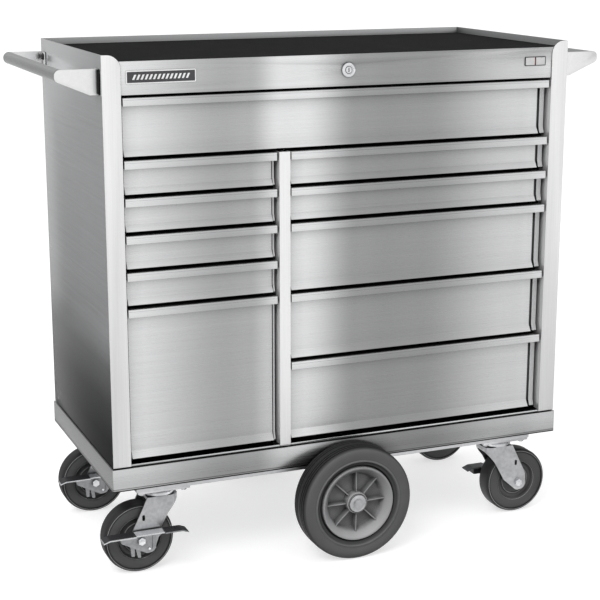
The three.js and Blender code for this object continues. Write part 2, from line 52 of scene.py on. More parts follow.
camera_data = bpy.data.cameras.new("camera")
camera_data.lens = 90.9
camera_data.sensor_width = 36
camera = bpy.data.objects.new("camera", camera_data)
camera.location = CAMERA_AT
camera.rotation_euler = (CAMERA_TILT, 0, CAMERA_TURN)
bpy.context.scene.collection.objects.link(camera)
bpy.context.scene.camera = camera


# ---- node material helpers -------------------------------------------------------------------
class Nodes:
    """A material's node tree with short calls for the nodes used here."""

    def __init__(self, name):
        self.material = bpy.data.materials.new(name)
        self.material.use_nodes = True
        self.tree = self.material.node_tree
        self.shader = self.tree.nodes["Principled BSDF"]
        self.place = self.add("ShaderNodeTexCoord").outputs["Object"]

    def add(self, kind, **settings):
        node = self.tree.nodes.new(kind)
        for key, value in settings.items():
            setattr(node, key, value)
        return node

    def link(self, source, target):
        self.tree.links.new(source, target)

    def stretch(self, scale):
        node = self.add("ShaderNodeVectorMath", operation="MULTIPLY")
        self.link(self.place, node.inputs[0])
        node.inputs[1].default_value = scale
        return node.outputs[0]

    def noise(self, scale, detail=2.0, stretch=(1, 1, 1), rough=0.5):
        node = self.add("ShaderNodeTexNoise")
        self.link(self.stretch(stretch), node.inputs["Vector"])
        node.inputs["Scale"].default_value = scale
        node.inputs["Detail"].default_value = detail
        node.inputs["Roughness"].default_value = rough
        return node.outputs["Fac"]

    def ramp(self, value, stops, interpolation="LINEAR"):
        node = self.add("ShaderNodeValToRGB")
        node.color_ramp.interpolation = interpolation
        elements = node.color_ramp.elements
        while len(elements) < len(stops):
            elements.new(0.5)
        for element, (at, colour) in zip(elements, stops):
            element.position = at
            if not isinstance(colour, (tuple, list)):
                colour = (colour, colour, colour)
            element.color = (*colour, 1)
        self.link(value, node.inputs["Fac"])
        return node.outputs["Color"]

    def span(self, value, low, high, out_low=0.0, out_high=1.0):
        node = self.add("ShaderNodeMapRange")
        self.link(value, node.inputs["Value"])
        node.inputs["From Min"].default_value = low
        node.inputs["From Max"].default_value = high
        node.inputs["To Min"].default_value = out_low
        node.inputs["To Max"].default_value = out_high
        return node.outputs["Result"]

    def math(self, operation, first, second):
        node = self.add("ShaderNodeMath", operation=operation)
        for socket, value in zip(node.inputs, (first, second)):
            if isinstance(value, (int, float)):
                socket.default_value = value
            else:
                self.link(value, socket)
        return node.outputs[0]

    def multiply(self, first, second):
        node = self.add("ShaderNodeMix", data_type="RGBA", blend_type="MULTIPLY")
        node.inputs["Factor"].default_value = 1
        for socket, value in zip((node.inputs["A"], node.inputs["B"]), (first, second)):
            if isinstance(value, (tuple, list)):
                socket.default_value = (*value, 1)
            else:
                self.link(value, socket)
        return node.outputs["Result"]

    def mix(self, factor, first, second):
        node = self.add("ShaderNodeMix", data_type="RGBA")
        self.link(factor, node.inputs["Factor"])
        for socket, value in zip((node.inputs["A"], node.inputs["B"]), (first, second)):
            if isinstance(value, (tuple, list)):
                socket.default_value = (*value, 1)
            else:
                self.link(value, socket)
        return node.outputs["Result"]

    def axis(self, index):
        node = self.add("ShaderNodeSeparateXYZ")
        self.link(self.place, node.inputs[0])
        return node.outputs[index]

    def bump(self, height, strength, distance):
        node = self.add("ShaderNodeBump")
        node.inputs["Strength"].default_value = strength
        node.inputs["Distance"].default_value = distance
        self.link(height, node.inputs["Height"])
        return node.outputs["Normal"]

    def painted_gap_shade(self, distance, darkest, middle):
        """Painted shade from ambient occlusion: 1 in the open, middle where half closed in, darkest deep in
        a gap.
        """
        node = self.add("ShaderNodeAmbientOcclusion", samples=6)
        node.inputs["Distance"].default_value = distance
        return self.ramp(node.outputs["AO"], [(0.0, darkest), (0.5, middle), (0.95, 1.0)])

    def set(self, **sockets):
        for name, value in sockets.items():
            socket = self.shader.inputs[name.replace("_", " ")]
            if isinstance(value, (int, float, tuple)):
                socket.default_value = value
            else:
                self.link(value, socket)


# ---- materials -------------------------------------------------------------------------------
def brushed(
    name, base, grain, tangent, rough=(0.24, 0.36), painted_reflection_bands=None, painted_gap_shade=(0.04, 0.02, 0.56),
    shade=None, metallic=1.0,
):
    """Brushed or satin stainless: fine grain along one direction, smudges, optional broad soft tones of
    painted reflection, and painted shade in gaps.
    """
    n = Nodes(name)
    fine = n.noise(1, 3, grain, 0.6)
    coarse = n.noise(1, 2, [g * 0.22 for g in grain], 0.5)
    smudge = n.noise(4.5, 3, (1, 1, 1), 0.55)
    tone = n.ramp(fine, [(0.3, 0.93), (0.7, 1.0)])
    tone = n.multiply(tone, n.ramp(coarse, [(0.3, 0.96), (0.7, 1.0)]))
    tone = n.multiply(tone, n.ramp(smudge, [(0.35, 0.97), (0.7, 1.0)]))
    if painted_reflection_bands:
        low, high, stops = painted_reflection_bands
        tone = n.multiply(tone, n.ramp(n.span(n.axis(0), low, high), stops, "EASE"))
    if shade:
        tone = n.multiply(tone, shade(n))
    # Painted shade: darker in gaps and under overhangs such as the pulls.
    tone = n.multiply(tone, n.painted_gap_shade(*painted_gap_shade))
    n.set(Base_Color=n.multiply(tone, base), Metallic=metallic, Anisotropic=0.5)
    n.set(Roughness=n.span(fine, 0.3, 0.7, *rough))
    direction = n.add("ShaderNodeCombineXYZ")
    for socket, value in zip(direction.inputs, tangent):
        socket.default_value = value
    n.set(Tangent=direction.outputs[0])
    n.set(Normal=n.bump(fine, 0.25, 0.0001))
    return n.material


def plain_metal(name, base, rough, metallic=1.0, wear=0.1, painted_gap_shade=(0.012, 0.15, 0.75), shade=None):
    """Plated or painted metal with a fine orange-peel surface, faint dirt and painted shade in its gaps."""
    n = Nodes(name)
    fine = n.noise(140, 3)
    cloud = n.noise(22, 4)
    dirt = [(0.3, 1 - wear), (0.7, 1.0)]
    tone = n.multiply(n.ramp(fine, dirt), n.ramp(cloud, dirt))
    if painted_gap_shade:
        tone = n.multiply(tone, n.painted_gap_shade(*painted_gap_shade))
    if shade:
        tone = n.multiply(tone, shade(n))
    n.set(Base_Color=n.multiply(tone, base), Metallic=metallic)
    n.set(Roughness=n.span(cloud, 0.3, 0.7, rough * 0.85, rough * 1.2))
    n.set(Normal=n.bump(fine, 0.12, 0.0003))
    return n.material


def polymer(name, base, rough, gloss=0.5, painted_gap_shade=(0.02, 0.15, 0.7), shade=None):
    """Rubber or moulded plastic with a fine matt grain, a little pale dust and painted shade in its hollows.
    """
    n = Nodes(name)
    fine = n.noise(900, 2)
    cloud = n.noise(14, 4)
    dusty = tuple(c * 1.25 + 0.003 for c in base)
    tone = n.mix(n.span(cloud, 0.4, 0.8, 0, 0.6), base, dusty)
    if shade:
        tone = n.multiply(tone, shade(n))
    n.set(Base_Color=n.multiply(tone, n.painted_gap_shade(*painted_gap_shade)), Metallic=0.0, Specular_IOR_Level=gloss)
    n.set(Roughness=n.span(fine, 0.3, 0.7, rough * 0.9, min(1, rough * 1.1)))
    n.set(Normal=n.bump(fine, 0.2, 0.0002))
    return n.material


BIG_AXLE_Z = 0.127
BODY_BOTTOM_Z = 0.256
LEFT_PANEL_X = -0.519


def tyre_painted_shade_and_highlight(n):
    """Painted shade and highlight by distance from the large wheels' axle: darker beside the rim and on the
    tread, paler on the moulded bead ring.
    """
    across, up = n.math("POWER", n.axis(0), 2), n.math("SUBTRACT", n.axis(2), BIG_AXLE_Z)
    radius = n.math("SQRT", n.math("ADD", across, n.math("MULTIPLY", up, up)), 0)
    return n.ramp(n.span(radius, 0.084, 0.127), [
        (0.0, 0.35), (0.2, 0.45), (0.27, 1.0), (0.33, 1.0), (0.37, 0.72),
        (0.42, 0.8), (0.86, 0.72), (0.92, 0.35), (0.97, 0.12), (1.0, 0.1),
    ])


def painted_skirt_shadow(n):
    """Painted shadow: the dark line where a caster rail meets the skirt's lower edge."""
    return n.ramp(n.span(n.axis(2), 0.1992, 0.2012), [(0.0, 1.0), (1.0, 0.03)])


def painted_skirt_edge_shade(n):
    """Painted shade: dark lines along the skirt's lower edge, with a paler line between them."""
    return n.ramp(n.span(n.axis(2), 0.205, 0.213), [
        (0.0, 0.04), (0.28, 0.04), (0.34, 0.9), (0.5, 0.9), (0.58, 0.35), (0.72, 0.45), (0.85, 1.0),
    ])


def left_side_painted_reflection(n):
    """Painted reflection: the left side darkens towards the floor; the back and the right side stay as they
    are.
    """
    low = n.ramp(n.span(n.axis(2), BODY_BOTTOM_Z, 0.70), [
        (0.0, 0.07), (0.115, 0.08), (0.29, 0.17), (0.47, 0.39), (0.64, 0.88), (0.82, 1.0), (1.0, 1.0),
    ])
    return n.mix(n.span(n.axis(0), LEFT_PANEL_X, LEFT_PANEL_X + 0.004), low, (1.0, 1.0, 1.0))


# Painted reflections as broad soft tones across the fronts: from and to along X, then places and brightness
# between them.
FRONT_PAINTED_REFLECTIONS = (-0.5, 0.5, [
    (0.0, 0.92), (0.235, 0.49), (0.285, 0.52), (0.355, 0.90), (0.405, 0.90),
    (0.53, 0.39), (0.60, 0.36), (0.68, 0.37), (0.915, 0.74), (1.0, 0.90),
])
# Noise scales of brush lines that run along one axis.
ALONG_X = (6, 700, 700)
ALONG_Z = (700, 700, 6)
ALONG_Y = (700, 6, 700)
UP = (0, 0, 1)
ACROSS = (1, 0, 0)

# The drawer fronts and the skirt carry broad painted reflections across their width.
fascia_steel = brushed("fascia_steel", (0.945, 0.95, 0.955), ALONG_X, UP, painted_reflection_bands=FRONT_PAINTED_REFLECTIONS)
post_steel = brushed(
    "post_steel", (0.98, 0.98, 0.98), ALONG_Z, ACROSS,
    rough=(0.3, 0.4), painted_gap_shade=(0.006, 0.03, 0.85), metallic=0.7,
)
tab_steel = brushed(
    "tab_steel", (0.62, 0.625, 0.63), ALONG_Z, ACROSS,
    rough=(0.3, 0.4), painted_gap_shade=(0.004, 0.05, 0.85), metallic=0.7,
)
# The left side panel carries a painted dark reflection towards the floor.
panel_steel = brushed(
    "panel_steel", (0.80, 0.81, 0.82), ALONG_Y, UP, rough=(0.2, 0.26), shade=left_side_painted_reflection,
)
# The skirt's lower edge carries painted shade lines.
skirt_steel = brushed("skirt_steel", (0.74, 0.745, 0.75), ALONG_X, UP, painted_reflection_bands=FRONT_PAINTED_REFLECTIONS, shade=painted_skirt_edge_shade)
zinc = plain_metal("zinc", (0.66, 0.665, 0.68), 0.33, wear=0.2)
handle_steel = brushed(
    "handle_steel", (0.9, 0.9, 0.9), ALONG_Y, UP, rough=(0.3, 0.36), painted_gap_shade=(0.006, 0.1, 0.8),
)
# The rails carry a painted shadow line under the skirt.
rail_zinc = plain_metal("rail_zinc", (0.72, 0.725, 0.74), 0.33, shade=painted_skirt_shadow)
tube_steel = brushed("tube_steel", (0.52, 0.525, 0.53), ALONG_Y, UP, rough=(0.26, 0.32))
bright_zinc = plain_metal("bright_zinc", (0.85, 0.86, 0.88), 0.2)
black_paint = plain_metal("black_paint", (0.025, 0.025, 0.028), 0.42, metallic=0.0)
drawer_paint = plain_metal("drawer_paint", (0.03, 0.03, 0.033), 0.45, metallic=0.0)
mat_rubber = polymer("mat_rubber", (0.006, 0.006, 0.0065), 0.85, gloss=0.15)
wheel_rubber = polymer("wheel_rubber", (0.02, 0.02, 0.021), 0.45, gloss=0.35)
core_rubber = polymer("core_rubber", (0.08, 0.08, 0.081), 0.4, gloss=0.4)
# Light grey on the thin raised rings of the caster wheels is a painted highlight.
bead_highlight_rubber = polymer("bead_highlight_rubber", (0.34, 0.34, 0.343), 0.35, gloss=0.5)
# Painted shade on the tread and beside the rim, and a painted highlight on the bead ring.
tyre_rubber = polymer("tyre_rubber", (0.15, 0.15, 0.152), 0.55, gloss=0.3, shade=tyre_painted_shade_and_highlight)
# The deep gap setting paints shade into the dished web between the spokes.
rim_plastic = polymer("rim_plastic", (0.36, 0.36, 0.365), 0.4, gloss=0.5, painted_gap_shade=(0.03, 0.08, 0.42))
handle_plastic = polymer("handle_plastic", (0.008, 0.008, 0.008), 0.6, gloss=0.2)
stamped_steel = plain_metal("stamped_steel", (0.36, 0.365, 0.375), 0.38, wear=0.2)
tray_steel = brushed("tray_steel", (0.5, 0.505, 0.51), ALONG_X, UP, rough=(0.3, 0.36))


def wear(obj, material):
    obj.data.materials.clear()
    obj.data.materials.append(material)
    return obj


# ---- mesh helpers (lengths in millimetres) ---------------------------------------------------
def rounded(corners, steps=6):
    """Polygon points from (u, v) or (u, v, radius) corners."""
    points = []
    count = len(corners)
    for i, corner in enumerate(corners):
        at = Vector(corner[:2])
        radius = corner[2] if len(corner) > 2 else 0
        if not radius:
            points.append(at)
            continue
        before = (Vector(corners[i - 1][:2]) - at).normalized()
        after = (Vector(corners[(i + 1) % count][:2]) - at).normalized()
        half = before.angle(after) / 2
        centre = at + (before + after).normalized() * (radius / math.sin(half))
        reach = radius / math.tan(half)
        start = at + before * reach - centre
        turn = start.angle_signed(at + after * reach - centre)
        for step in range(steps + 1):
            a = -turn * step / steps
            sine, cosine = math.sin(a), math.cos(a)
            spun = Vector((start.x * cosine - start.y * sine, start.x * sine + start.y * cosine))
            points.append(centre + spun)
    return [tuple(p) for p in points]


def place(axis, u, v, t):
    """A point from its two outline coordinates and its place t along the axis."""
    return {"x": (t, u, v), "y": (u, t, v), "z": (u, v, t)}[axis]


def prism(bm, axis, outline, low, high):
    """Closed prism of an outline along an axis: x takes (y, z), y takes (x, z), z takes (x, y)."""
    rings = [[bm.verts.new(place(axis, u, v, t)) for u, v in outline] for t in (low, high)]
    count = len(outline)
    for i in range(count):
        j = (i + 1) % count
        bm.faces.new((rings[0][i], rings[0][j], rings[1][j], rings[1][i]))
    bm.faces.new(rings[0])
    bm.faces.new(rings[1][::-1])


def turned(bm, profile, steps=72, axis="y", centre=(0, 0, 0), closed=True):
    """A closed (radius, t) profile turned about an axis through centre; a radius of 0 makes a pole."""
    basis = {
        "x": ((0, 1, 0), (0, 0, 1), (1, 0, 0)),
        "y": ((1, 0, 0), (0, 0, 1), (0, 1, 0)),
        "z": ((1, 0, 0), (0, 1, 0), (0, 0, 1)),
    }
    a, b, c = (Vector(v) for v in basis[axis])
    centre = Vector(centre)
    rings = []
    for radius, t in profile:
        if radius < 1e-6:
            rings.append([bm.verts.new(centre + c * t)] * steps)
            continue
        ring = []
        for i in range(steps):
            angle = 2 * math.pi * (i + 0.5) / steps
            outward = a * math.cos(angle) + b * math.sin(angle)
            ring.append(bm.verts.new(centre + outward * radius + c * t))
        rings.append(ring)
    pairs = list(zip(rings, rings[1:]))
    if closed:
        pairs.append((rings[-1], rings[0]))
    for first, second in pairs:
        for i in range(steps):
            j = (i + 1) % steps
            corners = []
            for vert in (first[i], first[j], second[j], second[i]):
                if vert not in corners:
                    corners.append(vert)
            if len(corners) > 2:
                bm.faces.new(corners)


def rod(bm, radius, low, high, axis="y", centre=(0, 0, 0), sides=32, edge=0.0):
    """A solid cylinder with an optional chamfer."""
    profile = [(0, low), (radius, low), (radius, high), (0, high)]
    if edge:
        profile = [
            (0, low), (radius - edge, low), (radius, low + edge),
            (radius, high - edge), (radius - edge, high), (0, high),
        ]
    turned(bm, profile, sides, axis, centre, closed=False)


def cut_plate(outlines, thickness, edge=0.4, axis="y", at=0.0):
    """A flat plate with holes and rounded edges: the first outline is the rim and the others are holes."""
    curve = bpy.data.curves.new("plate", "CURVE")
    curve.dimensions = "2D"
    curve.fill_mode = "BOTH"
    curve.extrude = thickness / 2 - edge
    curve.bevel_depth = edge
    curve.bevel_resolution = 1
    curve.offset = -edge
    for outline in outlines:
        spline = curve.splines.new("POLY")
        spline.points.add(len(outline) - 1)
        for point, (u, v) in zip(spline.points, outline):
            point.co = (u, v, 0, 1)
        spline.use_cyclic_u = True
    holder = bpy.data.objects.new("plate", curve)
    bpy.context.scene.collection.objects.link(holder)
    bpy.context.view_layer.update()
    mesh = bpy.data.meshes.new_from_object(holder.evaluated_get(bpy.context.evaluated_depsgraph_get()))
    bpy.data.objects.remove(holder)
    turns = {
        "x": Matrix(((0, 0, 1), (1, 0, 0), (0, 1, 0))),
        "y": Matrix(((1, 0, 0), (0, 0, 1), (0, 1, 0))),
        "z": Matrix.Identity(3),
    }
    shift = Vector(place(axis, 0, 0, at))
    bm = bmesh.new()
    bm.from_mesh(mesh)
    bpy.data.meshes.remove(mesh)
    for vert in bm.verts:
        vert.co = turns[axis] @ vert.co + shift
    bmesh.ops.remove_doubles(bm, verts=bm.verts, dist=1e-4)
    return bm


def merge(bm, other):
    """Adds another bmesh's geometry to bm."""
    carrier = bpy.data.meshes.new("carrier")
    other.to_mesh(carrier)
    other.free()
    bm.from_mesh(carrier)
    bpy.data.meshes.remove(carrier)


def circle(radius, centre=(0, 0), sides=32, turn=0.0):
    angles = [turn + 2 * math.pi * i / sides for i in range(sides)]
    return [(centre[0] + radius * math.cos(a), centre[1] + radius * math.sin(a)) for a in angles]


def make(name, bm, material, body, replaces=(), bevel=0.0, angle=35, where=None):
    """Turns a bmesh in millimetres into a piece that rides on a body."""
    bmesh.ops.remove_doubles(bm, verts=bm.verts, dist=1e-4)
    bmesh.ops.recalc_face_normals(bm, faces=bm.faces)
    bmesh.ops.scale(bm, vec=(MM, MM, MM), verts=bm.verts)
    if where is not None:
        bm.transform(where)
    mesh = bpy.data.meshes.new(name)
    bm.to_mesh(mesh)
    bm.free()
    obj = bpy.data.objects.new(name, mesh)
    bpy.context.scene.collection.objects.link(obj)
    wear(obj, material)
    soften(obj, bevel, angle)
    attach(obj, body)
    if replaces:
        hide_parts(*replaces)
    return obj


def soften(obj, bevel, angle=35, weld=False):
    """Smooth shading with crisp corners, and an optional small bevel on the hard edges."""
    for polygon in obj.data.polygons:
        polygon.use_smooth = True
    if weld:
        obj.modifiers.new("weld", "WELD").merge_threshold = 1e-6
    if bevel:
        mod = obj.modifiers.new("bevel", "BEVEL")
        mod.width = bevel * MM
        mod.segments = 2
        mod.limit_method = "ANGLE"
        mod.angle_limit = math.radians(angle)
        mod.harden_normals = True
    else:
        sharpen(obj.data, math.radians(angle))


def sharpen(mesh, limit):
    """Marks the edges whose faces meet at more than the limit as sharp."""
    bm = bmesh.new()
    bm.from_mesh(mesh)
    for edge in bm.edges:
        edge.smooth = len(edge.link_faces) == 2 and edge.calc_face_angle(0) < limit
    bm.to_mesh(mesh)
    bm.free()


# ---- carried-over CAD nodes ------------------------------------------------------------------
CARRIED = {
    "cabinet_shell": (panel_steel, 0.5),
    "bottom_pan": (panel_steel, 0.4),
    "left_post": (post_steel, 0.6),
    "right_post": (post_steel, 0.6),
    "front_rail": (fascia_steel, 0.5),
    "center_divider": (post_steel, 0.5),
    "top_tray": (tray_steel, 0.4),
    "base_frame": (skirt_steel, 0.8),
    "left_wall_rack": (zinc, 0.3),
    "right_wall_rack": (zinc, 0.3),
    "divider_left_rack": (zinc, 0.3),
    "divider_right_rack": (zinc, 0.3),
    "lock_bar": (zinc, 0.4),
    "caster_rail_front": (rail_zinc, 0.5),
    "caster_rail_rear": (rail_zinc, 0.5),
    "wheel_axle": (zinc, 0.3),
    "lock_cylinder": (bright_zinc, 0.2),
}
DRAWERS = [name[:-4] for name in NODES if name.startswith("drawer_") and name.endswith("_box")]
for drawer in DRAWERS:
    CARRIED[drawer + "_box"] = (drawer_paint, 0.4)
for node, (material, bevel) in CARRIED.items():
    wear(NODES[node], material)
    soften(NODES[node], bevel, weld=True)


def box_mm(node):
    low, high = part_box(node)
    return [value / MM for value in low], [value / MM for value in high]


# ---- drawer fronts ---------------------------------------------------------------------------
FRONT = box_mm("left_post")[0][1]
SKIN_T = 3
PULL_H = 17
FLARE_H = 15  # the face's lower edge leans out over this height
LEFT_INSET = 2.5
DIVIDER_INSET = 6.5
POST_INSET = 18.7
POST_SIDE_X = 400  # drawers that reach past this end beside the right post


def drawer_front(drawer):
    """Pull, flared face and end caps in one piece, and the set-back tabs beside the face."""
    (left, lip, bottom), (right, back, top) = box_mm(drawer + "_front")
    face = back - SKIN_T
    under = top - PULL_H
    flare = bottom + FLARE_H
    bm = bmesh.new()
    pull = rounded([
        (back, under), (face, under), (face, top - 2), (lip + 2, top - 2, 1.2), (lip + 2, under),
        (lip, under, 0.9), (lip, top - 5.5), (lip + 0.5, top - 5), (lip, top - 4.5),
        (lip, top, 3.4), (back, top),
    ], 5)
    prism(bm, "x", pull, left, right)
    skin = rounded([
        (back - 1, under + 1), (face, under + 1), (face, flare, 5), (lip + 7, bottom, 1.2),
        (back - 5, bottom), (back - 1, flare),
    ], 5)
    inset = POST_INSET if right > POST_SIDE_X else DIVIDER_INSET
    prism(bm, "x", skin, left + LEFT_INSET, right - inset)
    strip = [
        (back - 1.5, under + 2), (back - 1.5, flare), (back - 6, bottom + 0.5),
        (back - 4, bottom + 0.5), (back - 0.2, flare), (back - 0.2, under + 2),
    ]
    for x in (left + 0.5, right - 2):
        cap = rounded([
            (lip + 1, under + 0.5, 1), (face + 1, under + 0.5), (face + 1, top - 1), (lip + 1, top - 1, 2.6),
        ], 4)
        prism(bm, "x", cap, x, x + 1.5)
    make(drawer + "_face", bm, fascia_steel, drawer, [drawer + "_front"], 0.35)
    bm = bmesh.new()
    prism(bm, "x", strip, left + 0.3, left + LEFT_INSET + 1)
    prism(bm, "x", strip, right - 0.62 * inset, right - 0.03 * inset)
    make(drawer + "_tabs", bm, tab_steel, drawer, bevel=0.2)


for drawer in DRAWERS:
    drawer_front(drawer)


# ---- drawer liners and top liner -------------------------------------------------------------
def ribbed_mat(name, x, y, z, pitch, material, body, replaces=()):
    """A sheet whose upper side has fine ribs running along X."""
    count = int((y[1] - y[0]) / pitch)
    pitch = (y[1] - y[0]) / count
    top = []
    for i in range(count):
        start = y[0] + i * pitch
        top += [(start, z[1] - 0.7), (start + 0.25 * pitch, z[1]), (start + 0.75 * pitch, z[1])]
    outline = [(y[1], z[0]), (y[0], z[0])] + top + [(y[1], z[1] - 0.7)]
    bm = bmesh.new()
    prism(bm, "x", outline, *x)
    return make(name, bm, material, body, replaces, angle=20)


RUNNER_GAP = 11.2  # from a drawer box's outermost side, its runner, to the liner
for drawer in DRAWERS:
    (x0, y0, z0), (x1, y1, _) = box_mm(drawer + "_box")
    across, along, up = (x0 + RUNNER_GAP, x1 - RUNNER_GAP), (y0 + 2, y1 - 2), (z0 + 1.25, z0 + 3.0)
    ribbed_mat(drawer + "_liner", across, along, up, 6, mat_rubber, drawer)

(x0, y0, z0), (x1, y1, z1) = box_mm("top_mat")
ribbed_mat("top_liner", (x0, x1), (y0, y1), (z0, z1), 5, mat_rubber, "cabinet", ["top_mat"])


# ---- lock, name plate and badge --------------------------------------------------------------
LOCK_Z = (box_mm("lock_housing")[0][2] + box_mm("lock_housing")[1][2]) / 2
BEZEL_BACK = FRONT + 26
bm = bmesh.new()
turned(bm, [
    (7.3, BEZEL_BACK), (7.3, FRONT + 0.5), (8.2, FRONT - 0.6), (9.6, FRONT - 0.6), (10.2, FRONT - 1.5),
    (13.2, FRONT - 1.5), (14.6, FRONT - 0.8), (15.2, FRONT + 1.4), (10.8, FRONT + 1.5), (10.7, BEZEL_BACK),
], 64, centre=(0, 0, LOCK_Z))
make("lock_bezel", bm, bright_zinc, "cabinet", ["lock_housing"])

PLATE_LOW, PLATE_HIGH = box_mm("name_plate")
px, pz = (PLATE_LOW[0], PLATE_HIGH[0]), (PLATE_LOW[2], PLATE_HIGH[2])


def panel_outline(x, z, inset, radius, steps=4):
    return rounded([
        (x[0] + inset, z[0] + inset, radius), (x[1] - inset, z[0] + inset, radius),
        (x[1] - inset, z[1] - inset, radius), (x[0] + inset, z[1] - inset, radius),
    ], steps)


plate_rim = plain_metal("plate_rim", (0.95, 0.95, 0.96), 0.3, painted_gap_shade=None)
plate_ink = plain_metal("plate_ink", (0.06, 0.06, 0.064), 0.4, metallic=0.0, painted_gap_shade=None)
bm = cut_plate([panel_outline(px, pz, -1.5, 3), panel_outline(px, pz, 0.8, 1.2)], 1.6, 0.3, at=FRONT + 0.7)
make("name_plate_border", bm, plate_rim, "cabinet")
bm = bmesh.new()
prism(bm, "y", panel_outline(px, pz, 0.2, 1.5), FRONT + 0.35, FRONT + 1.4)
make("name_plate_field", bm, plate_ink, "cabinet", ["name_plate"])
BARS, BAR_PITCH, BAR_W, BAR_SLANT, BAR_MARGIN = 14, 8.4, 4.2, 4.5, 6.5
bars_from = (px[0] + px[1] - (BARS - 1) * BAR_PITCH - BAR_W - BAR_SLANT) / 2
low, high = pz[0] + BAR_MARGIN, pz[1] - BAR_MARGIN
bm = bmesh.new()
for i in range(BARS):
    x = bars_from + i * BAR_PITCH
    bar = [(x, low), (x + BAR_W, low), (x + BAR_W + BAR_SLANT, high), (x + BAR_SLANT, high)]
    prism(bm, "y", bar, FRONT + 0.05, FRONT + 0.5)
make("name_plate_bars", bm, plate_rim, "cabinet")

BADGE_X = (415.5, 466.5)
BADGE_Z = (1042.5, 1062)
badge_white = plain_metal("badge_white", (0.93, 0.93, 0.93), 0.4, metallic=0.0, painted_gap_shade=None)
badge_red = plain_metal("badge_red", (0.6, 0.2, 0.21), 0.4, metallic=0.0, painted_gap_shade=None)
badge_middle = sum(BADGE_X) / 2
halves = ((BADGE_X[0], badge_middle + 0.5), (badge_middle - 0.5, BADGE_X[1]))
cells = [panel_outline(half, BADGE_Z, 1.6, 0.8) for half in halves]
bm = cut_plate([panel_outline(BADGE_X, BADGE_Z, 0, 1.6), *cells], 0.9, 0.15, at=FRONT + 1.2)
make("badge_border", bm, black_paint, "cabinet")
bm = bmesh.new()
prism(bm, "y", panel_outline(BADGE_X, BADGE_Z, 1.0, 1), FRONT + 1.1, FRONT + 1.7)
make("badge_field", bm, badge_white, "cabinet")
bm = bmesh.new()
stripe = panel_outline((badge_middle - 3.6, badge_middle + 3.6), BADGE_Z, 2, 0.5)
prism(bm, "y", stripe, FRONT + 0.85, FRONT + 1.3)
make("badge_stripe", bm, badge_red, "cabinet")


# ---- side handles ----------------------------------------------------------------------------
def hex_bolt(bm, axis, at, low, high, across, washer=0.0, washer_t=1.2):
    """A hexagon head with a chamfered outer end and an optional washer; high is the outer end."""
    out = 1 if high > low else -1
    base = low
    if washer:
        base = low + out * washer_t
        profile = [(0, low), (washer - 0.4, low), (washer, low + out * 0.4), (washer, base), (0, base)]
        turned(bm, profile, 32, axis, at, closed=False)
    profile = [(0, base), (across, base), (across, high - out * 0.8), (across - 1.0, high), (0, high)]
    turned(bm, profile, 6, axis, at, closed=False)


def handle(side):
    """Tube grip between two noses, bracket plates, feet, end pads and bolts."""
    low, high = box_mm(side + "_handle")
    sign = 1 if side == "right" else -1
    wall = abs(low[0] if side == "right" else high[0])
    reach = abs(high[0] if side == "right" else low[0])
    y1, z0, z1 = high[1], low[2], high[2]
    bm = bmesh.new()
    nose = rounded([
        (sign * wall, z0 + 1, 2), (sign * (wall + 18), z0 + 0.5, 8), (sign * (reach - 1.5), z1 - 22, 10),
        (sign * (reach - 2), z1 - 0.5, 11), (sign * wall, z1 - 0.5, 2),
    ], 8)
    for y in (-y1 + 1.5, y1 - 1.5):
        merge(bm, cut_plate([nose], 3, 0.5, "y", y))
    tube_r = 12.5
    cx, cz = sign * (reach - tube_r - 0.5), z1 - tube_r - 0.5
    inner = y1 - 2
    for y in (-1, 1):
        foot = rounded([
            (y * (y1 - 24), z0 + 1, 5), (y * y1, z0 + 1, 1), (y * y1, z1 - 1, 1), (y * (y1 - 24), z1 - 1, 5),
        ], 6)
        merge(bm, cut_plate([foot], 2.6, 0.4, "x", sign * (wall + 1.5)))
    make(side + "_handle_bar", bm, handle_steel, "cabinet", [side + "_handle"])
    bm = bmesh.new()
    rod(bm, tube_r, -inner, inner, "y", (cx, 0, cz), 48)
    for y in (-1, 1):
        collar = [
            (tube_r - 1, y * (inner - 1)), (tube_r + 0.4, y * (inner - 1)),
            (tube_r + 0.4, y * (inner - 5)), (tube_r - 1, y * (inner - 6)),
        ]
        turned(bm, collar, 48, "y", (cx, 0, cz))
    make(side + "_handle_grip", bm, tube_steel, "cabinet")
    bm = bmesh.new()
    for y in (-1, 1):
        for z in (z0 + 12, z1 - 12):
            hex_bolt(bm, "x", (0, y * (y1 - 14), z), sign * (wall + 2.8), sign * (wall + 8), 5.6, 7.5)
    make(side + "_handle_bolts", bm, black_paint, "cabinet", bevel=0.2)
    bm = bmesh.new()
    for y in (-1, 1):
        near, far = y * (y1 + 0.2), y * (y1 + 6)
        pad = rounded([(near, z0 + 1, 1.5), (far, z0 + 1, 2), (far, z1 - 1, 2), (near, z1 - 1, 1.5)], 5)
        merge(bm, cut_plate([pad], 1.6, 0.3, "x", sign * (wall + 0.9)))
    make(side + "_handle_pads", bm, handle_plastic, "cabinet")


handle("left")
handle("right")


# ---- casters ---------------------------------------------------------------------------------
CASTER_R = 76.2
CASTER_X = 408.5  # swivel axes, from the middle of the chest
CASTER_Y = 187
TRAIL = 48  # the axle's distance behind the swivel axis
CROWN_Z = 168
CORNERS = {"front_left": (-1, -1), "front_right": (1, -1), "rear_left": (-1, 1), "rear_right": (1, 1)}
AXLE_AT = (-TRAIL, 0, CASTER_R)


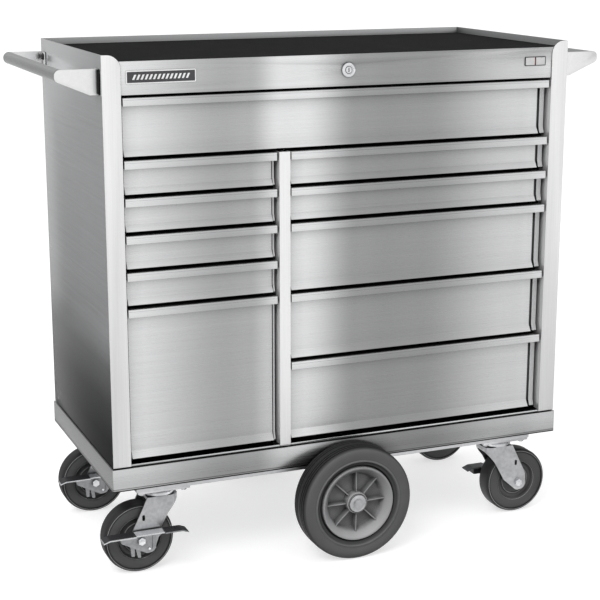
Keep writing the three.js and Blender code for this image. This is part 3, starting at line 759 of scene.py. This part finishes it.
def boolean(bm_base, bm_tool, operation):
    """Exact boolean of two bmeshes, given back as one bmesh."""
    objects = []
    for source in (bm_base, bm_tool):
        bmesh.ops.remove_doubles(source, verts=source.verts, dist=1e-4)
        bmesh.ops.recalc_face_normals(source, faces=source.faces)
        mesh = bpy.data.meshes.new("solid")
        source.to_mesh(mesh)
        source.free()
        obj = bpy.data.objects.new("solid", mesh)
        bpy.context.scene.collection.objects.link(obj)
        objects.append(obj)
    mod = objects[0].modifiers.new("cut", "BOOLEAN")
    mod.operation = operation
    mod.object = objects[1]
    mod.solver = "EXACT"
    bpy.context.view_layer.update()
    mesh = bpy.data.meshes.new_from_object(objects[0].evaluated_get(bpy.context.evaluated_depsgraph_get()))
    result = bmesh.new()
    result.from_mesh(mesh)
    for obj in objects:
        bpy.data.objects.remove(obj)
    bpy.data.meshes.remove(mesh)
    return result


def fork_mesh():
    """Folded fork: two legs joined by a rounded nose and the crown, with a slot in each leg."""
    outer, inner, slots, profile = (bmesh.new() for _ in range(4))
    wrap = [(-90, -31), (39, -31, 20), (39, 31, 20), (-90, 31)]
    hollow = [(-95, -28), (36, -28, 17), (36, 28, 17), (-95, 28)]
    prism(outer, "z", rounded(wrap, 10), 30, CROWN_Z)
    prism(inner, "z", rounded(hollow, 10), 20, CROWN_Z - 4)
    side = rounded([
        (38, CROWN_Z - 0.01), (39, CROWN_Z - 8), (15, 131, 30), (-10, 86, 14), (-TRAIL + 4, 56, 12),
        (-TRAIL - 20, 60, 16), (-TRAIL - 19, 95, 20), (-51, 127), (-31, CROWN_Z - 0.01),
    ], 8)
    prism(profile, "y", side, -40, 40)
    slot = rounded([(-43.5, 118, 2.9), (-37.5, 118, 2.9), (-37.5, 131, 2.9), (-43.5, 131, 2.9)], 6)
    prism(slots, "y", slot, -40, 40)
    fork = boolean(outer, inner, "DIFFERENCE")
    fork = boolean(fork, profile, "INTERSECT")
    return boolean(fork, slots, "DIFFERENCE")


def mirrored(side):
    """A whole wheel outline from the half on one side of its middle plane."""
    return side + [(radius, -t) for radius, t in reversed(side)]


def wheel_parts():
    """Half outlines of a caster wheel's tread, core and the pale rings on its sides, whose light grey is a
    painted highlight.
    """
    tread = [
        (68.2, 18), (68.5, 21), (69.5, 21.5), (71.8, 21.5),
        (73.5, 20.3), (75.3, 17.7), (CASTER_R, 13.5), (CASTER_R, 4),
    ]
    core = [
        (5.6, 25.5), (11, 25.5), (12.5, 24.5), (13.5, 15), (16, 12.5), (30, 12),
        (31.5, 14), (34, 14), (35.5, 12), (43, 12.5), (45.5, 18.5), (48, 20.8),
        (50.5, 21.1), (66, 20.6), (68.3, 19.5), (68.3, 10),
    ]
    highlight_beads = [(70.4, 71.9, 21.3, 21.9), (32.0, 33.6, 13.8, 14.5), (46.6, 47.5, 19.6, 20.6)]
    return tread, core, highlight_beads


def pedal_mesh():
    """Rocker plate on the axle with a hole for it and one raised rib."""
    plate = rounded([
        (-95, 87, 5), (-93, 96, 3), (-66, 99, 3), (-3, 99, 3), (2, 92, 4),
        (-10, 80, 8), (-21, 49, 8), (-36, 46.5, 8), (-92, 76, 6),
    ], 6)
    hole = circle(6, (-TRAIL, CASTER_R), 24)
    bm = cut_plate([plate, hole], 2.6, 0.5, "y", -35.5)
    rib = rounded([(-24, 93, 1.5), (-19, 93, 1.5), (-17, 56, 2), (-24, 53, 2)], 4)
    prism(bm, "y", rib, -38.2, -36.5)
    return bm


def tread_mesh(x_in, x_out):
    """Bent tread strip with a raised lip, between y -64 and -35."""
    bm = bmesh.new()
    out = 1 if x_out > x_in else -1
    knee = x_out - out * 14
    strip = rounded([
        (x_in, 95.6), (knee, 95.6, 8), (x_out, 91),
        (x_out + out * 0.01, 93.2, 1.4), (knee, 98.6, 9), (x_in, 98.6),
    ], 5)
    prism(bm, "y", strip, -64, -35.2)
    return bm


def tread_block(x_in, x_out):
    """Black stop block under a tread."""
    out = 1 if x_out > x_in else -1
    bm = bmesh.new()
    near, far = x_in + out * 8, x_in + out * 35
    pad = rounded([(near, 82, 2), (far, 82, 2), (far, 96), (near, 96)], 3)
    prism(bm, "y", pad, -62, -38)
    return bm


def tread_cover(x_in, x_out):
    """Black cover that follows a tread's top, with grip ribs."""
    bm = bmesh.new()
    out = 1 if x_out > x_in else -1
    knee = x_out - out * 14
    end = x_out - out * 2
    cover = rounded([
        (x_in, 98.4), (knee, 98.4, 8), (end, 93.6), (end, 94.8, 0.8), (knee, 99.6, 9), (x_in, 99.6),
    ], 5)
    prism(bm, "y", cover, -62, -36)
    count = int((abs(x_out - x_in) - 22) / 6)
    for i in range(count):
        x = x_in + out * (8 + 6 * i)
        rib = rounded([(x - 1.3, 99.2), (x + 1.3, 99.2), (x + 1.0, 100.4, 0.5), (x - 1.0, 100.4, 0.5)], 3)
        prism(bm, "y", rib, -61, -37)
    return bm


def caster(corner):
    """Swivel head, fork, axle, wheel and brake of one caster, built at its swivel axis, then placed."""
    sx, sy = CORNERS[corner]
    turn = Matrix.Rotation(0 if sx < 0 else math.pi, 4, "Z")
    spot = Matrix.Translation(Vector((sx * CASTER_X, sy * CASTER_Y, 0)) * MM) @ turn
    name = "caster_" + corner
    bm = fork_mesh()
    make(name + "_legs", bm, zinc, name, [name + "_fork"], 0.5, 40, where=spot)
    bm = bmesh.new()
    race = [
        (9, CROWN_Z - 0.5), (30, CROWN_Z - 0.5), (33, CROWN_Z), (36, CROWN_Z + 3),
        (36.5, 176), (35, 178.6), (31, 179.2), (9, 179.2),
    ]
    turned(bm, race, 64, "z")
    make(name + "_race", bm, bright_zinc, name, where=spot)
    bm = bmesh.new()
    seal = [(9, 178.9), (33.5, 178.9), (34, 179.4), (34, 180.5), (33.5, 181), (9, 181)]
    turned(bm, seal, 64, "z")
    make(name + "_seal", bm, handle_plastic, name, where=spot)
    bm = bmesh.new()
    rod(bm, 5, -38, 36, "y", AXLE_AT, 32)
    for y in (-1, 1):
        turned(bm, [(5, y * 31), (9.5, y * 31), (9.5, y * 32.2), (5, y * 32.2)], 32, "y", AXLE_AT)
    hex_bolt(bm, "y", AXLE_AT, 32.2, 38, 9)
    hex_bolt(bm, "y", AXLE_AT, -37.2, -42.8, 9)
    turned(bm, [(0, -42.6), (5, -42.6), (5, -42.9), (4, -43), (0, -43)], 24, "y", AXLE_AT, closed=False)
    for y in (-1, 1):
        turned(bm, [(5.2, y * 27.8), (9.5, y * 27.8), (9.5, y * 26), (5.2, y * 26)], 32, "y", AXLE_AT)
    make(name + "_axle", bm, bright_zinc, name, bevel=0.3, angle=30, where=spot)
    bm = bmesh.new()
    tread, core, highlight_beads = wheel_parts()
    turned(bm, mirrored(tread), 96, "y", AXLE_AT)
    wheel = name + "_wheel"
    make(name + "_tread", bm, wheel_rubber, wheel, [wheel], angle=40, where=spot)
    bm = bmesh.new()
    turned(bm, mirrored(core), 96, "y", AXLE_AT)
    make(name + "_core", bm, core_rubber, wheel, angle=40, where=spot)
    bm = bmesh.new()
    for y in (-1, 1):
        for inner, outer, low, high in highlight_beads:
            crown = [(inner, y * low), (inner + 0.3, y * high), (outer - 0.3, y * high), (outer, y * low)]
            turned(bm, crown, 96, "y", AXLE_AT)
    make(name + "_beads", bm, bead_highlight_rubber, wheel, angle=60, where=spot)
    pedal = name + "_pedal"
    make(name + "_rocker", pedal_mesh(), stamped_steel, pedal, [pedal], angle=40, where=spot)
    bm = bmesh.new()
    web = rounded([(-68, 95.8), (-2, 95.8), (-2, 98.8), (-68, 98.8)], 1)
    prism(bm, "y", web, -60, -35.2)
    rod(bm, 3.2, -38.6, -35, "y", (-31, 0, 57), 24, 0.8)
    make(name + "_web", bm, bright_zinc, pedal, bevel=0.5, where=spot)
    bm = bmesh.new()
    for x, low, lean in ((-68, 42, 1), (-58, 38, 5)):
        tab = rounded([
            (x - 5, 70, 1), (x + 6, 66, 1), (x + 4 + lean, low, 1.5), (x - 3 + lean, low + 1, 1.5),
        ], 4)
        prism(bm, "y", tab, -34.6, -32.4)
    make(name + "_tabs", bm, stamped_steel, pedal, bevel=0.4, where=spot)
    for tag, x_in, x_out, coat in (("off", -66, -137, bright_zinc), ("on", -3, 49, stamped_steel)):
        bm = tread_mesh(x_in, x_out)
        make(f"{name}_{tag}_tread", bm, coat, pedal, bevel=0.4, where=spot)
        cover = tread_cover(x_in, x_out) if sx < 0 or tag == "off" else tread_block(x_in, x_out)
        make(f"{name}_{tag}_cover", cover, black_paint, pedal, bevel=0.3, where=spot)


for corner in CORNERS:
    caster(corner)

for end, sy in (("front", -1), ("rear", 1)):
    bm = bmesh.new()
    for sx in (-1, 1):
        at = (sx * CASTER_X, sy * CASTER_Y, 0)
        boss = [(8, 181.2), (38, 181.2), (40.5, 182.4), (40.5, 184.6), (37, 185.4), (8, 185.4)]
        turned(bm, boss, 64, "z", at)
        for dx in (-46, 46):
            for dy in (-39, 39):
                hex_bolt(bm, "z", (at[0] + dx, at[1] + dy, 0), 185.3, 179.5, 6.5, 9.5)
    make(f"caster_bolts_{end}", bm, bright_zinc, "cabinet", bevel=0.3)


# ---- large middle wheels ---------------------------------------------------------------------
BIG_R = 127
BIG_Y = 292
BIG_HUB_FACE = 25.3
SPOKES = 8


def tyre_profile():
    """Sidewall with its bead ring, shoulder and tread grooves."""
    side = [
        (84.0, 20), (85.0, 23), (87.5, 25.6), (91.0, 25.8), (93.0, 27.5), (94.2, 30.6), (95.6, 31.8),
        (97.6, 31.8), (98.8, 30.9), (100.5, 31), (106, 31.7), (113, 31.9), (119, 31.2), (122.6, 29.2),
        (125.0, 26.6), (126.2, 24.4), (123.8, 23.6), (123.8, 21.4), (126.5, 20.8), (126.8, 17.0),
        (124.0, 16.2), (124.0, 14.0), (BIG_R, 13.4), (BIG_R, 9.4), (124.2, 8.6), (124.2, 6.4), (BIG_R, 5.8),
    ]
    return mirrored(side)


def rim_profile():
    """Hub barrel, thin disc and the dished cone out to the tyre's bead."""
    side = [
        (10.4, 24.5), (11.5, 25), (18.6, 25), (19.4, 23.8), (20.2, 23.8), (21, 25), (22.4, 25),
        (23.5, 24), (24.0, 3), (26, 1.5), (60, 1.5), (62.5, 4), (65.5, 14), (67.5, 17.6),
        (77.2, 29.4), (78.6, 30.4), (81.6, 30.4), (82.6, 29.4), (83.2, 26), (83.6, 22),
    ]
    return mirrored(side)


def big_wheel(end, sign):
    """Tyre and ribbed rim of a middle wheel, and the fixed washer and nut on its axle's end."""
    name = "big_wheel_" + end
    centre = (0, sign * BIG_Y, BIG_R)
    bm = bmesh.new()
    turned(bm, tyre_profile(), 128, "y", centre)
    make(name + "_tread", bm, tyre_rubber, name, [name + "_tyre"], angle=40)
    bm = bmesh.new()
    turned(bm, rim_profile(), 128, "y", centre)
    for i in range(SPOKES):
        spin = Matrix.Rotation(i * 2 * math.pi / SPOKES, 3, "Y")
        for face in (-1, 1):
            spoke = bmesh.new()
            outline = rounded([
                (23, face), (64, face), (68.4, face * 18.6, 0.5), (60, face * 17.5, 4), (23, face * 19.5, 1),
            ], 3)
            prism(spoke, "z", outline, -1.2, 1.2)
            bmesh.ops.rotate(spoke, verts=spoke.verts, cent=(0, 0, 0), matrix=spin)
            bmesh.ops.translate(spoke, verts=spoke.verts, vec=centre)
            merge(bm, spoke)
    make(name + "_hub", bm, rim_plastic, name, [name + "_rim"], bevel=0.35, angle=40)
    bm = bmesh.new()
    out = centre[1] + sign * BIG_HUB_FACE
    axle = (0, 0, BIG_R)
    washer = [(8.5, 0), (17.4, 0), (17.9, 0.4), (17.9, 1.2), (17.4, 1.6), (8.5, 1.6)]
    turned(bm, [(radius, out + sign * t) for radius, t in washer], 48, "y", axle)
    hex_bolt(bm, "y", axle, out + sign * 1.5, out + sign * 6.2, 8.8)
    rod_end = [(0, 5.8), (4.6, 5.8), (4.6, 6.6), (0, 6.6)]
    turned(bm, [(radius, out + sign * t) for radius, t in rod_end], 24, "y", axle, closed=False)
    make(f"axle_nut_{end}", bm, bright_zinc, "cabinet", bevel=0.3, angle=30)


big_wheel("front", -1)
big_wheel("rear", 1)


# ---- floor, backdrop and light ---------------------------------------------------------------
def card(name, corners, stops, low, high, axis, across=None):
    """A plain light panel with brightness graded along one axis or two, seen only in reflections."""
    mesh = bpy.data.meshes.new(name)
    mesh.from_pydata(corners, [], [tuple(range(len(corners)))])
    obj = bpy.data.objects.new(name, mesh)
    bpy.context.scene.collection.objects.link(obj)
    n = Nodes(name)
    glow = n.add("ShaderNodeEmission")
    shade = n.ramp(n.span(n.axis(axis), low, high), stops, "EASE")
    if across:
        second, start, end, second_stops = across
        shade = n.multiply(shade, n.ramp(n.span(n.axis(second), start, end), second_stops, "EASE"))
    n.link(shade, glow.inputs["Color"])
    output = next(node for node in n.tree.nodes if node.type == "OUTPUT_MATERIAL")
    n.link(glow.outputs[0], output.inputs["Surface"])
    wear(obj, n.material)
    obj.visible_camera = False
    obj.visible_diffuse = False
    obj.visible_transmission = False
    obj.visible_shadow = False


card(
    "side_softbox",
    [(-4.5, 1.7, 0.0), (-0.55, 1.7, 0.0), (-0.55, 1.7, 2.4), (-4.5, 1.7, 2.4)],
    [(0.0, 0.42), (0.08, 0.50), (0.15, 0.54), (0.35, 0.60), (1.0, 0.60)],
    0.0, 2.4, 2, (0, -1.3, -0.6, [(0.0, 0.62), (0.37, 0.68), (0.64, 0.9), (1.0, 1.0)]),
)
CARD_Z = 0.002  # floor cards lie just above the floor


def floor_card(name, x, y, stops, low, high, axis):
    corners = [(x[0], y[0], CARD_Z), (x[1], y[0], CARD_Z), (x[1], y[1], CARD_Z), (x[0], y[1], CARD_Z)]
    card(name, corners, stops, low, high, axis)


REAR_STOPS = [(0.0, 0.35), (0.15, 0.5), (0.5, 0.75), (1.0, 0.85)]
LEFT_STOPS = [(0.0, 0.8), (0.5, 0.6), (0.8, 0.42), (1.0, 0.42)]
FRONT_STOPS = [(0.0, 1.0), (0.5, 1.0), (0.78, 0.95), (0.9, 0.86), (1.0, 0.74)]
floor_card("left_floor_tone", (-9.0, -0.55), (-0.4, 1.7), LEFT_STOPS, -9.0, -0.4, 0)
floor_card("front_floor_tone", (-4.5, 4.5), (-12.0, -0.4), FRONT_STOPS, -12.0, -0.4, 1)
floor_card("right_floor_tone", (0.56, 9.0), (-0.4, 9.0), REAR_STOPS, 0.4, 9.0, 0)
floor_card("rear_floor_tone", (-0.54, 0.55), (0.36, 9.0), REAR_STOPS, 0.4, 9.0, 1)
floor_card("rear_left_floor_tone", (-4.5, -0.55), (1.72, 9.0), REAR_STOPS, 0.4, 9.0, 1)

FLOOR = 30.0
floor_mesh = bpy.data.meshes.new("floor")
floor_corners = [(-FLOOR, -FLOOR, 0), (FLOOR, -FLOOR, 0), (FLOOR, FLOOR, 0), (-FLOOR, FLOOR, 0)]
floor_mesh.from_pydata(floor_corners, [], [(0, 1, 2, 3)])
floor = bpy.data.objects.new("floor", floor_mesh)
bpy.context.scene.collection.objects.link(floor)
n = Nodes("floor")
n.set(Base_Color=n.ramp(n.noise(0.6, 2), [(0.3, 0.5), (0.7, 0.52)]), Roughness=1.0, Specular_IOR_Level=0.0)
n.set(Emission_Color=(1, 1, 1, 1), Emission_Strength=0.62)
wear(floor, n.material)
floor.visible_diffuse = False

world = bpy.data.worlds.new("studio")
bpy.context.scene.world = world
world.use_nodes = True
sky = world.node_tree
background = sky.nodes["Background"]
direction = sky.nodes.new("ShaderNodeTexCoord").outputs["Generated"]
parts = sky.nodes.new("ShaderNodeSeparateXYZ")
sky.links.new(direction, parts.inputs[0])
path = sky.nodes.new("ShaderNodeLightPath")


def sky_ramp(value, low, high, stops):
    span = sky.nodes.new("ShaderNodeMapRange")
    sky.links.new(value, span.inputs["Value"])
    span.inputs["From Min"].default_value = low
    span.inputs["From Max"].default_value = high
    ramp = sky.nodes.new("ShaderNodeValToRGB")
    elements = ramp.color_ramp.elements
    while len(elements) < len(stops):
        elements.new(0.5)
    for element, (at, grey) in zip(elements, stops):
        element.position = at
        element.color = (grey, grey, grey, 1)
    sky.links.new(span.outputs["Result"], ramp.inputs["Fac"])
    return ramp.outputs["Color"]


def sky_mix(factor, first, second):
    node = sky.nodes.new("ShaderNodeMix")
    node.data_type = "RGBA"
    sky.links.new(factor, node.inputs["Factor"])
    sky.links.new(first, node.inputs["A"])
    if isinstance(second, tuple):
        node.inputs["B"].default_value = second
    else:
        sky.links.new(second, node.inputs["B"])
    return node.outputs["Result"]


# Matt surfaces see an overhead dome. Shiny ones see a pale room, dimmer behind, with a dark gap on
# the right.
dome = sky_ramp(parts.outputs["Z"], -1, 1, [(0.0, 0.06), (0.49, 0.1), (0.54, 0.45), (1.0, 1.3)])
room = sky_ramp(parts.outputs["X"], -1, 1, [(0.0, 0.75), (0.3, 1.0), (0.8, 0.95), (0.9, 0.4), (1.0, 0.6)])
depth = sky_ramp(parts.outputs["Y"], -1, 1, [(0.0, 1.0), (0.5, 1.0), (0.7, 0.6), (1.0, 0.5)])
both = sky.nodes.new("ShaderNodeMix")
both.data_type, both.blend_type = "RGBA", "MULTIPLY"
both.inputs["Factor"].default_value = 1.0
sky.links.new(room, both.inputs["A"])
sky.links.new(depth, both.inputs["B"])
seen = sky_mix(path.outputs["Is Glossy Ray"], dome, both.outputs["Result"])
sky.links.new(sky_mix(path.outputs["Is Camera Ray"], seen, (1, 1, 1, 1)), background.inputs["Color"])


def softbox(name, at, target, size, power):
    data = bpy.data.lights.new(name, "AREA")
    data.shape = "RECTANGLE"
    data.size, data.size_y = size
    data.energy = power
    lamp = bpy.data.objects.new(name, data)
    lamp.location = at
    lamp.rotation_euler = (Vector(target) - Vector(at)).to_track_quat("-Z", "Y").to_euler()
    bpy.context.scene.collection.objects.link(lamp)
    return lamp


key = softbox("key", (-2.4, -2.6, 3.6), (0, 0, 0.4), (2.0, 2.0), 110)
key.visible_glossy = False
bpy.context.scene.view_settings.view_transform = "Standard"
